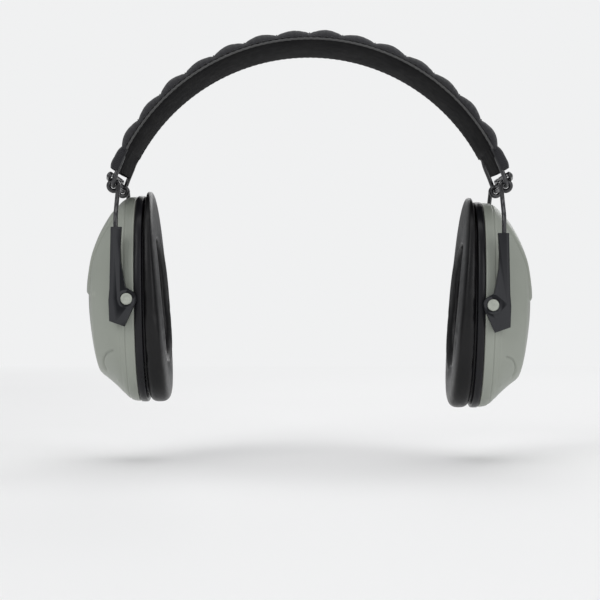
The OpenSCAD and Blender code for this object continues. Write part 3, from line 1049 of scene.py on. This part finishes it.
def make_shell(side):
    """A shell with a wall, a rounded lip at its rim, and its details on the outside."""
    coarser = 6
    inner_pole, outer_pole = (23.4, 0, 0), (25.55, 0, 0)
    turns = SHELL_TURNS
    grid = shell_points()[:-1]
    normal = grid_normals(grid)
    outer = grid + normal * shell_detail(grid)[..., None]
    inner = grid[::coarser] - normal[::coarser] * SHELL_WALL
    lip = np.stack([outer[0] * (1, 0.985, 0.99) - (0.45, 0, 0), inner[0] * (0, 1, 1) + (0.05, 0, 0)])
    rows = np.concatenate([inner[::-1], lip[::-1], outer])
    points = [tuple(p) for p in rows.reshape(-1, 3)]
    faces = loft_faces(len(rows), turns, ring=True, ends=False)
    for row, pole in ((0, inner_pole), (len(rows) - 1, outer_pole)):
        points.append(pole)
        last = len(points) - 1
        faces += [(row * turns + j, row * turns + (j + 1) % turns, last) for j in range(turns)]
    make_piece(f"{side}_shell", on_cup(side, points), faces, SHELL, f"{side}_cup", "shell",
               (f"{side}_cup_shell",))


def oval_ring(profile):
    """A closed ring from (depth, half width, half height) corners."""
    turns = 160
    points = []
    for depth, across, up in profile:
        for j in range(turns):
            y, z = oval(2 * math.pi * j / turns, across, up)
            points.append((depth, y, z))
    return points, loft_faces(len(profile), turns, ring=True, loop=True)


def make_ring(side):
    """The ring that closes the shell, with a rounded outer edge."""
    back, front = -0.05, 0.05 - RING_T
    # depth, and how far it stands past the shell's outline
    edge = [(back, -1.6), (back, -0.35), (-0.3, 0.1), (-0.55, 0.3), (-1.9, 0.42), (-3.2, 0.38), (-3.55, 0.2),
            (-3.75, -0.25), (front, -1.6)]
    # depth, and how far the opening lies within that outline, across and up
    opening = [(front, 8, 10), (-0.6, 8, 10), (back, 7.5, 9.5)]
    profile = [(d, HALF_W + g, HALF_H + g) for d, g in edge]
    profile += [(d, HALF_W - across, HALF_H - up) for d, across, up in opening]
    points, faces = oval_ring(profile)
    make_piece(f"{side}_carrier_ring", on_cup(side, points), faces, RING, f"{side}_cup", "ring",
               (f"{side}_base_ring",), sharp=40)


def make_foam(side):
    """The sound foam: a soft-edged block with a dimpled face towards the ear."""
    face, dimple = 8, 0.25
    count = 96
    half_w, face_h, back_h = HALF_W - 5, HALF_H - 8, HALF_H - 9
    # share of the radius, and depth, down the side that lies in the shell
    back = ((1.0, 9.5), (0.9, 13), (0.72, 17), (0.4, 20.5), (0.05, 21))
    turns = [2 * math.pi * j / count for j in range(count)]
    front = np.linspace(0.02, 1, 22)
    points = []
    for share in front:
        sink = face + 0.9 * share ** 6 + dimple * math.sin(share * 30)
        for turn in turns:
            y, z = oval(turn, half_w * share, face_h * share)
            points.append((sink + dimple * math.sin(0.8 * y) * math.sin(0.7 * z), y, z))
    for share, depth in back:
        points += [(depth, *oval(turn, half_w * share, back_h * share)) for turn in turns]
    rows = len(front) + len(back)
    foam = make_piece(f"{side}_foam_block", on_cup(side, points), loft_faces(rows, len(turns), ring=True),
                      FOAM, f"{side}_cup", "foam", (f"{side}_sound_foam",))


CUSHION_TURNS = 180
CUSHION_SIDES = 40
# Half the width and height of the ear opening
EAR_W = 19.5
EAR_H = 30.0
# Half the cushion's height, and its thickness at the top and the bottom
CUSHION_H = 51.0
THIN = 5.0
THICK = 12.0


def cushion_thickness(z):
    """Thickness at a height above the middle of the cup."""
    return THIN + (THICK - THIN) * (CUSHION_H - z) / (2 * CUSHION_H)


def cushion_section(angle):
    """Shares across (0 at the ear opening, 1 outside) and through the cushion (0 back, 1 face)."""
    c, s = math.cos(angle), math.sin(angle)
    across = 0.5 + 0.5 * math.copysign(abs(c) ** 0.62, c)
    through = 0.5 + 0.5 * math.copysign(abs(s) ** 0.7, s)
    return across, through


def cushion_points():
    """The skin before it is filled: an oval ring, thicker towards the bottom."""
    clear, past, sink = 0.3, 1.2, 0.1
    points = []
    for i in range(CUSHION_TURNS):
        turn = 2 * math.pi * i / CUSHION_TURNS
        for k in range(CUSHION_SIDES):
            across, through = cushion_section(2 * math.pi * k / CUSHION_SIDES)
            inner = oval(turn, EAR_W + clear, EAR_H + clear)
            outer = oval(turn, HALF_W + past, HALF_H + past)
            y = inner[0] + (outer[0] - inner[0]) * across
            z = inner[1] + (outer[1] - inner[1]) * across + across
            points.append((-RING_T - sink - through * (cushion_thickness(z) - clear), y, z))
    return np.array(points)


# Steps of the simulation
FRAMES = 20


def inflate(piece, pinned, pressure, shrink, cap):
    """Fills a skin with pressure, and keeps each point within cap of where it began.

    pinned says for each point how firmly it is held, from 0 to 1.
    """
    start = np.array([v.co for v in piece.data.vertices])
    group = piece.vertex_groups.new(name="held")
    for index, weight in enumerate(pinned):
        if weight > 0:
            group.add([index], float(weight), "REPLACE")
    cloth = piece.modifiers.new("cloth", "CLOTH")
    settings = cloth.settings
    settings.quality = 6
    settings.mass = 0.2
    settings.tension_stiffness = 30
    settings.compression_stiffness = 30
    settings.shear_stiffness = 12
    settings.bending_stiffness = 0.08
    settings.use_pressure = True
    settings.uniform_pressure_force = pressure
    settings.shrink_min = shrink
    settings.vertex_group_mass = "held"
    settings.effector_weights.gravity = 0
    cloth.collision_settings.use_collision = False
    cloth.point_cache.frame_start, cloth.point_cache.frame_end = 1, FRAMES
    scene = bpy.context.scene
    for number in range(1, FRAMES + 1):
        scene.frame_set(number)
    apply_modifiers(piece)
    scene.frame_set(1)
    end = np.array([v.co for v in piece.data.vertices])
    move = end - start
    size = np.linalg.norm(move, axis=1, keepdims=True)
    end = start + move * np.minimum(1, cap / np.maximum(size, 1e-9))
    piece.data.vertices.foreach_set("co", end.ravel())
    piece.data.update()
    piece.vertex_groups.clear()


def cushion_shape():
    """The leatherette skin in rim coordinates, filled once and used for both cups."""
    local = cushion_points()
    faces = loft_faces(CUSHION_TURNS, CUSHION_SIDES, ring=True, loop=True)
    mesh = bpy.data.meshes.new("cushion_skin")
    mesh.from_pydata([tuple(p * MM) for p in local], [], faces)
    skin = bpy.data.objects.new("cushion_skin", mesh)
    bpy.context.collection.objects.link(skin)
    # held at its back, where it is welded to its plate
    depth = -RING_T - local[:, 0]
    held = np.clip(1 - (depth - 0.2) / 1.2, 0, 1)
    inflate(skin, held, pressure=6, shrink=-0.012, cap=0.55 * MM)
    shaped = np.array([v.co for v in skin.data.vertices]) / MM
    bpy.data.objects.remove(skin)
    return shaped, faces


def make_cushion(side, shaped, faces):
    """The ear cushion of one side, from the filled skin, with a smoother surface."""
    cushion = make_piece(f"{side}_ear_pad", on_cup(side, shaped), faces, LEATHERETTE, f"{side}_cup",
                         "leatherette", (f"{side}_ear_cushion", f"{side}_cushion_foam"))
    finer = cushion.modifiers.new("finer", "SUBSURF")
    finer.levels = finer.render_levels = 1


def dress_cad():
    """The cushions' plates are shown as CAD made them, in the ring's plastic."""
    for side in ("right", "left"):
        plate = frame["nodes"][f"{side}_cushion_plate"]
        plate.data.materials.clear()
        plate.data.materials.append(RING)


make_pad()
pocket_fatness = make_cover()
make_tab("right")
make_tab("left")
make_stitches(pocket_fatness)
make_seam()
make_band_wire()
arm_points, arm_faces = arm_mesh()
make_arms(arm_points, arm_faces)
cushion_skin, cushion_faces = cushion_shape()
for each in ("right", "left"):
    make_yoke(each)
    make_shell(each)
    make_ring(each)
    make_foam(each)
    make_cushion(each, cushion_skin, cushion_faces)
dress_cad()

# ---- Floor ----

# Metres: half a side of the floor, and its room under a cup that is drawn all the way down
FLOOR_REACH = 1.7
FLOOR_ROOM = 0.004

lowest_slide = min(JOINTS[f"{each}_height"]["range_m"][0] for each in ("right", "left"))
floor_z = cad_box[0].z + lowest_slide - FLOOR_ROOM
corners = [(x * FLOOR_REACH, y * FLOOR_REACH, floor_z) for x, y in ((-1, -1), (1, -1), (1, 1), (-1, 1))]
floor_mesh = bpy.data.meshes.new("floor")
floor_mesh.from_pydata(corners, [], [(0, 1, 2, 3)])
floor = bpy.data.objects.new("floor", floor_mesh)
floor_mesh.materials.append(FLOOR)
bpy.context.collection.objects.link(floor)

bpy.context.view_layer.update()
